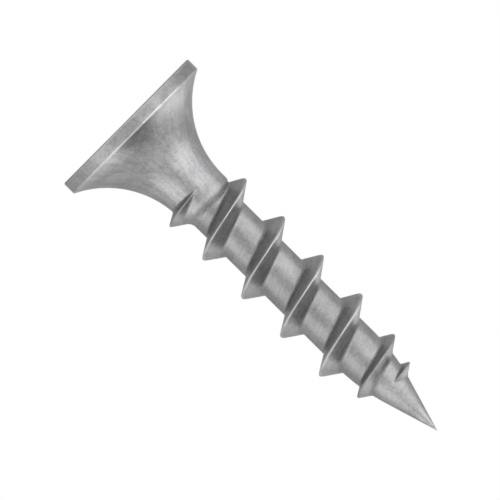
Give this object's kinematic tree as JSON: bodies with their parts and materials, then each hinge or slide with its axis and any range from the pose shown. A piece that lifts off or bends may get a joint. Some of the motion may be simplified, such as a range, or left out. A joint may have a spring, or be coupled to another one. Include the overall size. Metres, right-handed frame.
{
  "type": "drywall screw",
  "caption": "Coarse-thread drywall screw with a thin flat bugle head, a square recess and a sharp point, for fixing plasterboard to wood.",
  "frame": {"origin": "centre of the flat face of the head, on which the screw stands", "axes": "+Z along the screw's axis from the head to the point; +X and +Y square to the flats of the recess"},
  "size_m": [0.0084, 0.0084, 0.021],
  "materials": {
    "coated_steel": "satin"
  },
  "bodies": {
    "root": {"drywall_screw": "coated_steel"}
  },
  "joints": []
}
